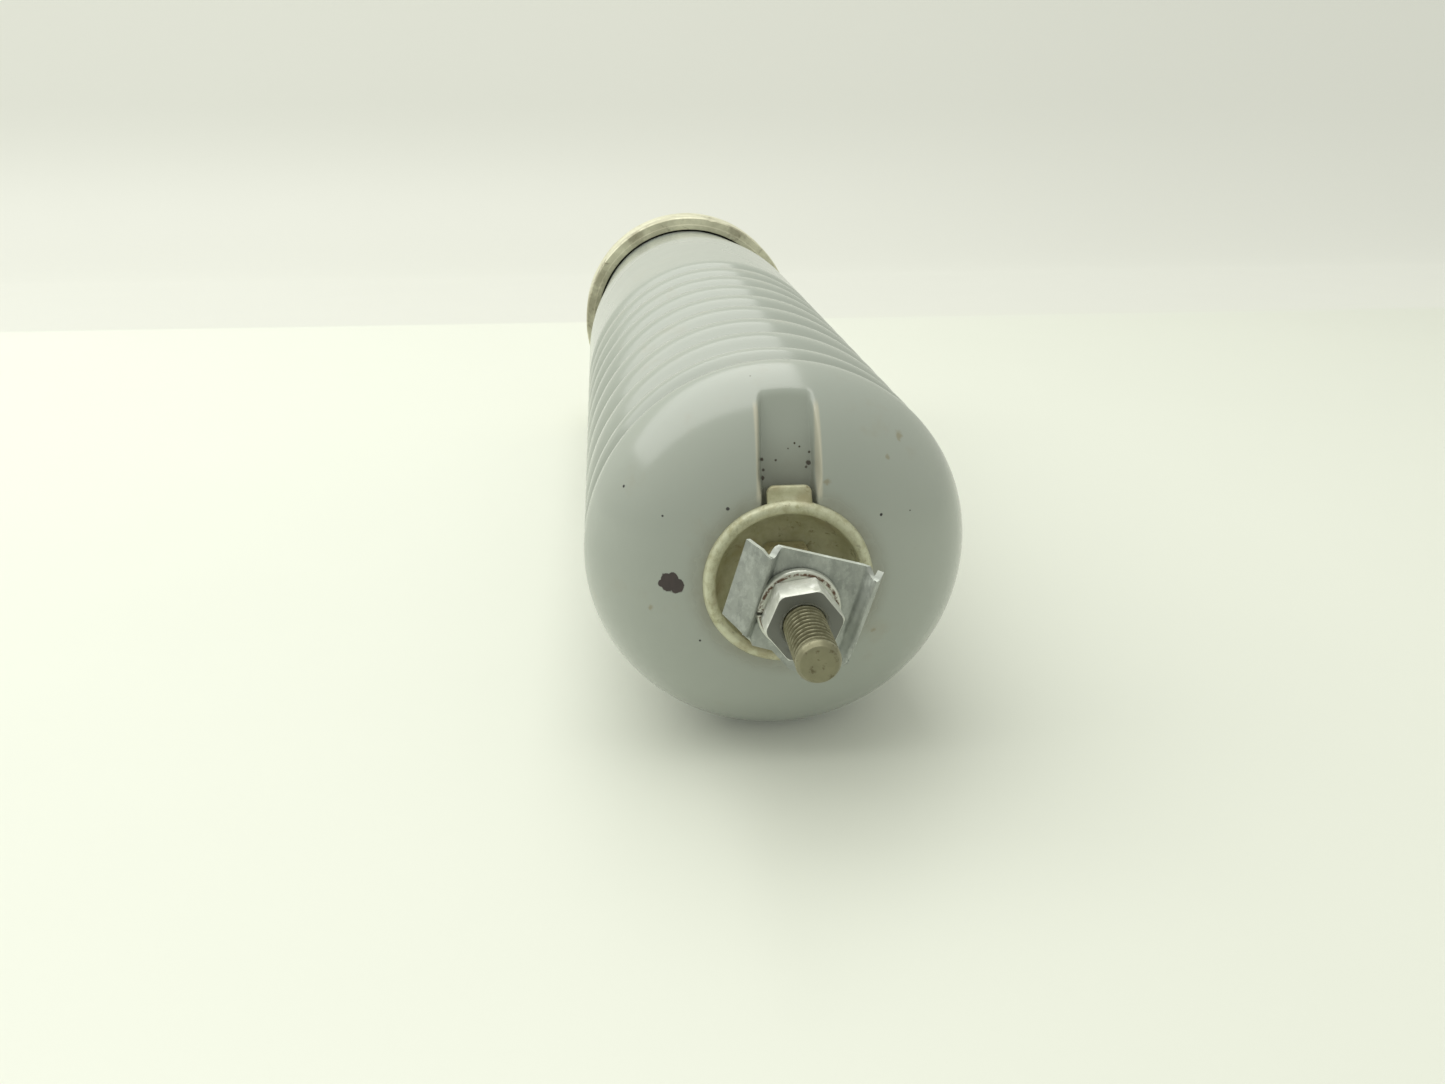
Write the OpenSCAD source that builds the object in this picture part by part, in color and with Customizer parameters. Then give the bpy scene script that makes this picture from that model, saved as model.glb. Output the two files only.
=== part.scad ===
// Porcelain-housed distribution arrester lying on its side.
// Axis along Y: the line terminal looks towards -Y, the ground terminal towards +Y, +Z is up.
// Origin: on the axis, at the middle of the plain band that a hanger clamps round.
// "Station" means the distance along the axis from the flat front face of the porcelain.

/* [Housing] */
// Radius of the front rim, the rib crests and the plain band
crest_r = 39.4; // [39:0.1:39.8]
// Depth of the valleys between the ribs
rib_depth = 3; // [2:0.1:4]
// Number of ribs behind the front rim
rib_count = 8; // [4:1:8]
// Station of the first rib's crest
rib_start = 30.4; // [30:0.1:31]
// Distance from one rib to the next
rib_pitch = 16.8; // [16:0.1:17.4]
// Rounding of a rib crest
rib_round = 5.5; // [4:0.5:7]
// Radius of the flat round the cup, where the domed front starts
face_flat = 16; // [15.8:0.1:17]
// Rounding where the dome turns into the rim
lip_round = 6; // [4:0.5:7]
// Station where the dome ends and the rim is widest
dome_end = 19; // [18.5:0.1:19.5]
// Station where the plain band starts
band_start = 158; // [155:1:165]
// Station where the plain band starts to taper
band_end = 226; // [215:1:232]
// Station of the porcelain's open end
housing_len = 286; // [286:1:286]
// Radius of the neck inside the end cap
neck_r = 35.8; // [34:0.1:36.5]
// Radius of the bore
bore_r = 25; // [24.8:0.1:27]
// Thickness of the front wall
front_wall = 17; // [17:1:17]

/* [Vent groove] */
// Width of the groove in the front face
groove_w = 12; // [10:0.5:14]
// Depth of the groove's floor below the face, at the end of the vent tab
groove_depth = 4.6; // [3:0.1:5]
// Slope of the groove's floor, in degrees
groove_slope = 18; // [16:1:20]
// Rounding between the groove's floor and its sides
groove_round = 1.5; // [0.5:0.1:2]

/* [Terminal cup] */
// Outer radius of the cup
cup_r = 16.6; // [15:0.1:18]
// Radius of the rolled bead round the cup
cup_bead = 1.6; // [1:0.1:2]
// Thickness of the cup's sheet
cup_sheet = 1.2; // [0.8:0.1:1.5]
// Depth of the cup's floor below the front face
cup_depth = 5.5; // [4:0.1:6]
// Width of the vent tab at the top of the cup
tab_w = 8.6; // [6:0.1:10]
// Distance from the axis to the end of the vent tab
tab_top = 19.2; // [18:0.1:21]

/* [Terminals] */
// Radius of both studs, 5/16 inch
stud_r = 3.97; // [3.97:0.01:3.97]
// How far the line stud stands out in front of the face
stud_reach = 36.5; // [34:0.5:45]
// How far the ground stud stands out behind the end cap
ground_reach = 32; // [28:0.5:40]
// Width of the hexagon nuts across their flats
nut_flats = 12.7; // [12.7:0.1:13.5]
// Thickness of the hexagon nuts
nut_h = 6.75; // [6.5:0.05:7]
// Turn of the terminal nut about the stud, anticlockwise from the front
nut_turn = 8; // [0:1:30]
// Width of the relief groove between a stud's free end and its nut
relief_w = 0.6; // [0.4:0.1:1]
// Depth of the relief groove
relief_depth = 0.5; // [0.3:0.1:0.8]
// Outer radius of the split lock washers
lock_r = 7.9; // [7.4:0.1:8.2]
// Thickness of the split lock washers
lock_h = 2; // [1.6:0.1:2.2]
// Front of the standoff sleeve, ahead of the face
sleeve_front = 11; // [9:0.5:13]

/* [Clamp plate] */
// Thickness of the plate
plate_t = 1.2; // [1:0.1:1.6]
// Height of the two wire grooves above the plate
wire_bulge = 3.2; // [2:0.1:4]
// Turn of the plate about the stud, clockwise from the front
plate_turn = 17; // [0:1:45]

/* [End cap] */
// Outer radius of the cap
cap_r = 41.2; // [40.5:0.1:43]
// Inner radius of the cap's skirt
cap_bore = 37.4; // [37.4:0.1:38.2]
// Station of the skirt's front edge
cap_start = 277; // [274:1:280]
// Station of the cap's outer end face
cap_end = 296; // [296:1:296]
// Rounding of the cap's outer corners
cap_round = 2.4; // [1:0.1:3]

/* [Valve stack] */
// Radius of the valve blocks
block_r = 22; // [20:0.5:23]
// Thickness of a valve block
block_h = 34; // [30:0.5:34]
// Number of valve blocks
block_count = 6; // [6:1:6]
// Number of spark gaps
gap_count = 5; // [5:1:5]
// Spacing of the electrodes in one spark gap
gap_h = 4; // [3:0.1:4]
// Thickness of an electrode
electrode_h = 1.2; // [1:0.1:1.5]

/* [Hidden] */
$fn = 96;
face_y = -(band_start + band_end) / 2;
dome_run = crest_r - lip_round - face_flat;
dome_r = (dome_run * dome_run + dome_end * dome_end - lip_round * lip_round) / 2 / (dome_end - lip_round);
lip_turn = atan2(dome_r - dome_end, dome_run);
lip_start = crest_r - lip_round + lip_round * cos(lip_turn);
fit = 0.05;
loose = 0.35;
hex_sides = 6;
cup_floor = cup_depth + cup_sheet;
gasket_h = 1.5;
jam_nut_h = 4.5;
hole_r = 6.2;
socket_r = 15.4;
rim_land = 0.8;
groove_lead = 8;
plate_front = -sleeve_front - plate_t;
lock_front = plate_front - lock_h;
nut_front = lock_front - nut_h;
head_r = 9;
head_h = 4;
inner_washer_h = 1.5;
head_start = front_wall + inner_washer_h;
head_end = head_start + head_h;
disc_h = 2;
spring_len = 22;
spring_wire = 1.5;
spring_r = 14;
spring_turns = 5;
seat_start = head_end + spring_len;
gap_start = seat_start + disc_h;
gap_stack = (gap_count + 1) * electrode_h + gap_count * gap_h;
mid_plate = gap_start + gap_stack;
block_start = mid_plate + disc_h;
block_end = block_start + block_count * block_h;
closure_start = housing_len + 3;
closure_h = 3;
ground_washer_h = 1.6;
ground_washer_start = cap_end + gasket_h;
ground_lock_start = ground_washer_start + ground_washer_h;
ground_nut_start = ground_lock_start + lock_h;
ground_nut_end = ground_nut_start + nut_h;

// Places a shape drawn along Z at a station on the axis.
module at(station) translate([0, face_y + station, 0]) rotate([-90, 0, 0]) children();

// A round disc, and a round ring, from one station to another.
module disc(r, from, to) at(from) cylinder(r = r, h = to - from);
module ring(outer, inner, from, to)
  at(from)
  difference() {
    cylinder(r = outer, h = to - from);
    translate([0, 0, -1]) cylinder(r = inner, h = to - from + 2);
  }

// Turns a profile, drawn as radius against station, about the axis.
module turned() at(0) rotate_extrude() children();

// A rectangle in a turned profile.
module band(inner, outer, from, to) translate([inner, from]) square([outer - inner, to - from]);

module housing_profile() {
  difference() {
    union() {
      band(0, face_flat, 0, dome_end);
      intersection() {
        translate([face_flat, dome_r]) circle(dome_r);
        band(0, lip_start, 0, dome_end);
      }
      intersection() {
        translate([crest_r - lip_round, dome_end]) circle(lip_round);
        band(lip_start - 0.1, crest_r, 0, dome_end);
      }
      band(0, crest_r, dome_end, dome_end + rim_land);
      band(0, crest_r - rib_depth, dome_end - 1, band_start + 1);
      for (i = [0 : rib_count - 1])
        translate([crest_r - rib_round, rib_start + i * rib_pitch]) circle(rib_round);
      band(0, crest_r, band_start, band_end);
      polygon([[0, band_end], [crest_r, band_end], [neck_r, cap_start - 3], [0, cap_start - 3]]);
      band(0, neck_r, cap_start - 3, housing_len);
    }
    band(0, bore_r, front_wall, housing_len + 1);
    band(0, hole_r, -1, front_wall + 1);
    band(0, socket_r, -1, cup_floor + gasket_h);
  }
}

// The groove is straight, and its flat floor slopes back until it runs out on the dome.
module vent_groove() {
  floor_w = groove_w - 2 * groove_round;
  translate([0, face_y + groove_depth, tab_top])
  rotate([-groove_slope, 0, 0])
  translate([0, -groove_depth, -groove_lead])
  linear_extrude(crest_r)
  union() {
    translate([-groove_w / 2, -1]) square([groove_w, groove_depth - groove_round + 1]);
    translate([-floor_w / 2, -1]) square([floor_w, groove_depth + 1]);
    for (side = [-1, 1])
      translate([side * floor_w / 2, groove_depth - groove_round]) circle(groove_round);
  }
}

module porcelain_housing()
  color("#aeb8bb")
  difference() {
    turned() housing_profile();
    vent_groove();
  }

// The bead lies on the face, and the bowl is a ring-shaped arc from it down to the flat floor.
module cup_profile() {
  bowl_x = 7.6;
  bowl_r = 6.4;
  bowl_y = cup_depth - bowl_r;
  intersection() {
    translate([cup_r - cup_bead, 0]) circle(cup_bead);
    band(0, cup_r, -2 * cup_bead, 0);
  }
  band(stud_r + 0.2, bowl_x, cup_depth, cup_floor);
  intersection() {
    translate([bowl_x, bowl_y])
    difference() {
      circle(bowl_r + cup_sheet);
      circle(bowl_r);
    }
    band(bowl_x, cup_r - 1, -0.4, cup_floor);
  }
}

module terminal_cup()
  color("#a7a383")
  union() {
    turned() cup_profile();
    intersection() {
      translate([-tab_w / 2, face_y + 0.4, cup_r - 2]) cube([tab_w, cup_sheet, tab_top - cup_r + 2]);
      disc(tab_top, 0, 4);
    }
  }

module cup_gasket()
  color("#2b2a28")
  ring(11, stud_r + 0.3, cup_floor, cup_floor + gasket_h);

module terminal_stud()
  color("#9c8f6a")
  union() {
    at(-stud_reach) cylinder(r1 = stud_r - 0.9, r2 = stud_r, h = 1);
    disc(stud_r, -stud_reach + 1, nut_front - relief_w);
    disc(stud_r - relief_depth, nut_front - 1, nut_front + 1);
    disc(stud_r, nut_front, head_start + 1);
    disc(head_r, head_start, head_end);
  }

// A plain hexagon nut with both faces chamfered.
module hex_nut(from, height, bore) {
  corner_r = nut_flats / 2 / cos(30);
  chamfer = 0.9;
  at(from)
  difference() {
    intersection() {
      cylinder(r = corner_r, h = height, $fn = hex_sides);
      union() {
        cylinder(r1 = corner_r - chamfer, r2 = corner_r + 0.02, h = chamfer / 2);
        translate([0, 0, chamfer / 2]) cylinder(r = corner_r + 0.02, h = height - chamfer);
        translate([0, 0, height - chamfer / 2])
        cylinder(r1 = corner_r + 0.02, r2 = corner_r - chamfer, h = chamfer / 2);
      }
    }
    translate([0, 0, -1]) cylinder(r = bore, h = height + 2);
  }
}

module jam_nut() color("#8f8a78") hex_nut(cup_depth - jam_nut_h, jam_nut_h, stud_r);

module standoff_sleeve()
  color("#a39c7c")
  ring(6.2, stud_r + fit, -sleeve_front, cup_depth - jam_nut_h);

// Section across the plate: a flat middle, and at each side a hooked groove for the wire.
module plate_section() {
  hook_r = 2.2;
  middle = 8.6;
  wing = 13.3;
  translate([-middle - plate_t / 2, -plate_t]) square([2 * middle + plate_t, plate_t]);
  for (side = [-1, 1]) scale([side, 1]) wing_section(middle, hook_r, wing);
}

// One side of the section: a quarter round out of the flat, and a wing that slopes back.
module wing_section(middle, hook_r, wing) {
  peak = middle + hook_r;
  translate([peak, -plate_t + hook_r - wire_bulge])
  difference() {
    circle(hook_r);
    circle(hook_r - plate_t);
    translate([0, -2 * hook_r]) square([2 * hook_r, 4 * hook_r]);
    translate([-2 * hook_r, 0]) square([4 * hook_r, 2 * hook_r]);
  }
  translate([middle, -wire_bulge + hook_r - plate_t]) square([plate_t, wire_bulge - hook_r + plate_t]);
  polygon([
    [peak, -plate_t - wire_bulge],
    [wing, -plate_t - 0.4],
    [wing, -0.2],
    [peak, -wire_bulge]
  ]);
}

// Outline of the plate seen from the front.
module plate_outline()
  polygon([
    [-13.3, 10.4], [13.3, 11], [12.2, -5], [9.8, -10.8], [6.4, -12.6], [2.6, -12.6],
    [-2, -9.6], [-8, -9.8], [-9, -6.9], [-13.3, -5]
  ]);

module clamp_plate()
  color("#9aa2a3")
  translate([0, face_y - sleeve_front, 0])
  rotate([0, plate_turn, 0])
  difference() {
    intersection() {
      translate([0, 0, -14]) linear_extrude(28) plate_section();
      translate([0, 1, 0]) rotate([90, 0, 0]) linear_extrude(8) plate_outline();
    }
    translate([0, 1, 0]) rotate([90, 0, 0]) cylinder(r = stud_r + loose, h = 8);
  }

// A lock washer with the slit that lets it spring.
module lock_washer(from)
  difference() {
    ring(lock_r, stud_r + 0.25, from, from + lock_h);
    translate([-lock_r - 1, face_y + from + lock_h / 2, 0])
    rotate([20, 0, 0])
    translate([0, -lock_h, -0.4])
    cube([lock_r - 1, 2 * lock_h, 0.8]);
  }

module terminal_lock_washer() color("#a3a7a4") lock_washer(lock_front);

module terminal_nut()
  color("#b4b8b3")
  rotate([0, -nut_turn, 0])
  hex_nut(nut_front, nut_h, stud_r + fit);

module inner_washer()
  color("#3a3733")
  ring(12, stud_r + 0.2, front_wall, head_start);

// A round wire wound at an even pitch, with its ends inside the two seats' gap.
module contact_spring() {
  steps = 24 * spring_turns;
  sides = 8;
  rise = spring_len - 2 * spring_wire - 0.4;
  rings = [
    for (i = [0 : steps])
      let (turn = 360 * i * spring_turns / steps, up = spring_wire + 0.2 + rise * i / steps)
      [for (j = [0 : sides - 1])
        let (a = 360 * j / sides, r = spring_r + spring_wire * cos(a))
        [r * cos(turn), r * sin(turn), up + spring_wire * sin(a)]]
  ];
  walls = [
    for (i = [0 : steps - 1], j = [0 : sides - 1])
      let (k = (j + 1) % sides)
      [i * sides + j, i * sides + k, (i + 1) * sides + k, (i + 1) * sides + j]
  ];
  first = [for (j = [0 : sides - 1]) sides - 1 - j];
  last = [for (j = [0 : sides - 1]) steps * sides + j];
  color("#85888a")
  at(head_end)
  polyhedron(points = [for (r = rings, p = r) p], faces = concat(walls, [first], [last]));
}

// A thin strap that carries the current past the spring.
module contact_strap()
  color("#b07a4c")
  translate([0, face_y + head_end, 0])
  union() {
    translate([-4, 0, -6]) cube([8, 0.5, 25]);
    translate([-4, 0, 18.5]) cube([8, spring_len, 0.5]);
    translate([-4, spring_len - 0.5, -6]) cube([8, 0.5, 25]);
  }

module spring_seat() color("#8d9092") disc(block_r, seat_start, gap_start);

module gap_electrode(i) {
  from = gap_start + (i - 1) * (electrode_h + gap_h);
  color("#b8964a") disc(13, from, from + electrode_h);
}

module gap_spacer(i) {
  from = gap_start + electrode_h + (i - 1) * (electrode_h + gap_h);
  color("#d9d2bd") ring(13, 10, from, from + gap_h);
}

module gap_shroud() color("#cfc7b2") ring(19, 15, gap_start, mid_plate);

module gap_contact_plate() color("#8d9092") disc(block_r, mid_plate, block_start);

module valve_block(i) {
  from = block_start + (i - 1) * block_h;
  color("#4a4c4f") disc(block_r, from, from + block_h);
}

module liner_tube() color("#a58a5e") ring(24.2, 23.2, gap_start, block_end);

module end_contact_plate() color("#8d9092") disc(block_r, block_end, block_end + disc_h);

module end_gasket() color("#2b2a28") ring(34.5, 26.5, housing_len, closure_start);

module closure_plate()
  color("#9b9a90")
  ring(36.8, stud_r + 0.2, closure_start, closure_start + closure_h);

// The cap is a thick skirt with rounded corners and a flat end wall.
module end_cap_profile() {
  core_r = cap_r - cap_round;
  front = cap_start + cap_round;
  back = cap_end - cap_round;
  difference() {
    union() {
      band(0, core_r, cap_start, cap_end);
      band(0, cap_r, front, back);
      translate([core_r, front]) circle(cap_round);
      translate([core_r, back]) circle(cap_round);
    }
    band(0, cap_bore, cap_start - 1, closure_start + closure_h);
    band(0, stud_r + 0.2, cap_start - 1, cap_end + 1);
  }
}

module end_cap() color("#a09c86") turned() end_cap_profile();

module cap_sealing_ring() color("#1f1d1a") ring(cap_bore, neck_r, cap_start + 1.6, housing_len);

module ground_stud()
  color("#9c8f6a")
  union() {
    disc(head_r, block_end + disc_h, closure_start);
    disc(stud_r, closure_start - 1, ground_nut_end);
    disc(stud_r - relief_depth, ground_nut_end - 1, ground_nut_end + 1);
    disc(stud_r, ground_nut_end + relief_w, cap_end + ground_reach - 1);
    at(cap_end + ground_reach - 1) cylinder(r1 = stud_r, r2 = stud_r - 0.9, h = 1);
  }

module ground_gasket()
  color("#2b2a28")
  ring(9, stud_r + 0.2, cap_end, ground_washer_start);

module ground_flat_washer()
  color("#a3a7a4")
  ring(9, stud_r + 0.35, ground_washer_start, ground_lock_start);

module ground_lock_washer() color("#a3a7a4") lock_washer(ground_lock_start);

module ground_nut() color("#b4b8b3") hex_nut(ground_nut_start, nut_h, stud_r + fit);

porcelain_housing();
terminal_cup();
cup_gasket();
terminal_stud();
jam_nut();
standoff_sleeve();
clamp_plate();
terminal_lock_washer();
terminal_nut();
inner_washer();
contact_spring();
contact_strap();
spring_seat();
for (i = [1 : gap_count + 1])
  gap_electrode(i);
for (i = [1 : gap_count])
  gap_spacer(i);
gap_shroud();
gap_contact_plate();
for (i = [1 : block_count])
  valve_block(i);
liner_tube();
end_contact_plate();
end_gasket();
closure_plate();
end_cap();
cap_sealing_ring();
ground_stud();
ground_gasket();
ground_flat_washer();
ground_lock_washer();
ground_nut();
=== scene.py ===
"""The looks of a porcelain-housed arrester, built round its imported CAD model.

Lengths are millimetres until a mesh is made. A station is the distance along the axis from the
porcelain's flat front face, and grows towards the ground end (+Y). Angles round the axis are
measured from +X towards +Z, which is anticlockwise seen from the front.
"""

import math

import bmesh
import bpy
from mathutils import Euler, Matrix, Vector, geometry, noise


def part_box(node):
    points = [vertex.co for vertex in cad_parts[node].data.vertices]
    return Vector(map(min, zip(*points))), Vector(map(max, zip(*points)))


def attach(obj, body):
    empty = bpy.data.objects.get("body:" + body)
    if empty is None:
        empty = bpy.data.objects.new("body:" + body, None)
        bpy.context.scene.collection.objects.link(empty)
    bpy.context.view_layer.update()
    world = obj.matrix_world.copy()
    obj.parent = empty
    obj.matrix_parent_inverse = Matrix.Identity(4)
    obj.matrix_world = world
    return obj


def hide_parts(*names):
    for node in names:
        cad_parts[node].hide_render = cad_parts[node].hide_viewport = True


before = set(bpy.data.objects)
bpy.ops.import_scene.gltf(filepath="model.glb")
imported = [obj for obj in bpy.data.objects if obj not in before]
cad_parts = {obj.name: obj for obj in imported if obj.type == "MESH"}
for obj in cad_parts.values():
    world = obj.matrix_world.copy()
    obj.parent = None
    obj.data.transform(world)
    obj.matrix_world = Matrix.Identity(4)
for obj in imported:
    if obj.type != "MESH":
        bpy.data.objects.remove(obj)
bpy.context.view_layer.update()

MM = 1000
FACE_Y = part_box("porcelain_housing")[0].y * MM


# -------------------------------- sizes taken from the frame

def span(node):
    """First and last station of a CAD node."""
    low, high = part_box(node)
    return low.y * MM - FACE_Y, high.y * MM - FACE_Y


def reach(node):
    """Outer radius of a CAD node that is turned about the axis."""
    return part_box(node)[1].x * MM


CREST_R = reach("porcelain_housing")
HOUSING_END = span("porcelain_housing")[1]
STUD_TIP, STUD_HEAD_END = span("terminal_stud")
GROUND_HEAD, GROUND_TIP = span("ground_stud")
CUP_R = reach("terminal_cup")
CUP_FLOOR = span("terminal_cup")[1]
TAB_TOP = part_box("terminal_cup")[1].z * MM
CAP_R = reach("end_cap")
CAP_START, CAP_END = span("end_cap")
PLATE_FRONT, PLATE_BACK = span("clamp_plate")

# Sizes that a box doesn't give, as the CAD model has them.
STUD_R = 3.97
STUD_HEAD_R = 8.9
WASHER_HOLE_R = STUD_R + 0.4
NUT_FLATS = 12.7
NUT_TURN = math.radians(8)
FACE_FLAT = 16.0
LIP_ROUND = 6.0
DOME_END = 19.0
RIB_DEPTH = 3.0
RIB_PITCH = 16.8
RIB_COUNT = 8
RIB_START = 30.4
BAND_END = 226.0
NECK_R = 35.8
NECK_START = CAP_START - 3
SOCKET_R = 15.4
BORE_R = 25.0
SEAT_END = 8.2
FRONT_WALL = 17.0
HOLE_R = 6.2
GROOVE_DEPTH = 4.6
GROOVE_SLOPE = math.tan(math.radians(18))
CAP_BORE = 37.4
CLOSURE_END = 292.0
PLATE_T = 1.2
PLATE_TURN = math.radians(17)

# Sizes that only the looks have.
THREAD_PITCH = 25.4 / 18
VALLEY_POWER = 1.25
BAND_START = RIB_START + RIB_PITCH * RIB_COUNT

# The dome's arc starts on the flat, and meets the lip's arc where both have the same slope.
DOME_RUN = CREST_R - LIP_ROUND - FACE_FLAT
DOME_R = (DOME_RUN ** 2 + DOME_END ** 2 - LIP_ROUND ** 2) / 2 / (DOME_END - LIP_ROUND)
LIP_TURN = math.atan2(DOME_R - DOME_END, DOME_RUN)


def face_station(radius):
    """Station of the front at a radius: flat round the cup, then a dome, then the rounded lip."""
    if radius <= FACE_FLAT:
        return 0.0
    if radius <= CREST_R - LIP_ROUND + LIP_ROUND * math.cos(LIP_TURN):
        return DOME_R - math.sqrt(DOME_R ** 2 - (radius - FACE_FLAT) ** 2)
    return DOME_END - math.sqrt(max(0.0, LIP_ROUND ** 2 - (radius - CREST_R + LIP_ROUND) ** 2))


def front_mark(x, z, radius):
    """A round mark on the front, as (x, station, z, radius)."""
    return x, face_station(math.hypot(x, z)), z, radius


def groove_mark(x, z, radius):
    """A round mark on the vent groove's floor."""
    return x, GROOVE_DEPTH + GROOVE_SLOPE * (z - TAB_TOP), z, radius


# -------------------------------- mesh helpers

def smoothstep(low, high, x):
    """0 at low, 1 at high and smooth between; low may be the larger one."""
    t = min(1.0, max(0.0, (x - low) / (high - low)))
    return t * t * (3 - 2 * t)


def smooth_max(a, b, width):
    """The larger of two numbers, rounded off where they are closer than width."""
    h = max(width - abs(a - b), 0) / width
    return max(a, b) + h * h * width / 4


def round_axis(radius, angle, station):
    """A point given by its radius, angle and station."""
    return (radius * math.cos(angle), FACE_Y + station, radius * math.sin(angle))


def ripple(point, size, seed=0.0):
    """Smooth noise from -1 to 1 whose features are about size across."""
    return noise.noise(Vector(point) / size + Vector((seed, 0, 0)))


def round_ripple(radius, angle, station, size, seed=0.0):
    """Ripple at a point given by its radius, angle and station."""
    return ripple((radius * math.cos(angle), station, radius * math.sin(angle)), size, seed)


def rounded(corners, steps=5):
    """A closed outline with arcs at its corners. Each corner is (u, v, rounding)."""
    points = []
    for i, (u, v, size) in enumerate(corners):
        here = Vector((u, v))
        if size == 0:
            points.append((u, v))
            continue
        before = (Vector(corners[i - 1][:2]) - here).normalized()
        after = (Vector(corners[(i + 1) % len(corners)][:2]) - here).normalized()
        half = before.angle(after) / 2
        centre = here + (before + after).normalized() * size / math.sin(half)
        start = here + before * size / math.tan(half) - centre
        end = here + after * size / math.tan(half) - centre
        sweep = start.angle_signed(end)
        for k in range(steps + 1):
            turn = -sweep * k / steps
            c, s = math.cos(turn), math.sin(turn)
            points.append((centre.x + start.x * c - start.y * s, centre.y + start.x * s + start.y * c))
    return points


def subdivided(outline, longest):
    """A closed outline with more points on its sides, about longest apart."""
    points = []
    for (u0, v0), (u1, v1) in zip(outline, outline[1:] + outline[:1]):
        steps = max(1, int(math.hypot(u1 - u0, v1 - v0) / longest))
        points += [(u0 + (u1 - u0) * k / steps, v0 + (v1 - v0) * k / steps) for k in range(steps)]
    return points


def new_object(name, data):
    made = bpy.data.objects.new(name, data)
    bpy.context.scene.collection.objects.link(made)
    return made


def finish_mesh(name, verts, faces, sharp=35):
    """Makes an object from points in millimetres, with outward normals and smooth shading."""
    mesh = bpy.data.meshes.new(name)
    mesh.from_pydata([Vector(v) / MM for v in verts], [], faces)
    work = bmesh.new()
    work.from_mesh(mesh)
    bmesh.ops.recalc_face_normals(work, faces=work.faces)
    work.to_mesh(mesh)
    work.free()
    mesh.shade_smooth()
    mesh.set_sharp_from_angle(angle=math.radians(sharp))
    return new_object(name, mesh)


def lofted(name, rings, loop=False, sharp=35):
    """A skin over rings of points. A ring of one point is a pole, and open ends are capped."""
    verts, index = [], []
    for ring in rings:
        index.append(list(range(len(verts), len(verts) + len(ring))))
        verts += ring
    pairs = list(zip(index, index[1:]))
    if loop:
        pairs.append((index[-1], index[0]))
    faces = []
    for a, b in pairs:
        count = max(len(a), len(b))
        for i in range(count):
            j = (i + 1) % count
            corners = [a[i % len(a)], a[j % len(a)], b[j % len(b)], b[i % len(b)]]
            faces.append(list(dict.fromkeys(corners)))
    if not loop:
        faces += [ring for ring in (index[0], index[-1]) if len(ring) > 1]
    return finish_mesh(name, verts, faces, sharp)


def turned(name, outline, columns, shape):
    """A ring turned about the axis from a closed outline of (radius, station).
    shape(radius, station, angle) says where a point ends up, as (radius, station)."""
    rings = []
    for k in range(columns):
        angle = math.tau * k / columns
        ring = []
        for point in outline:
            radius, station = shape(*point, angle)
            ring.append(round_axis(radius, angle, station))
        rings.append(ring)
    return lofted(name, rings, loop=True)


# -------------------------------- material helpers

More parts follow.
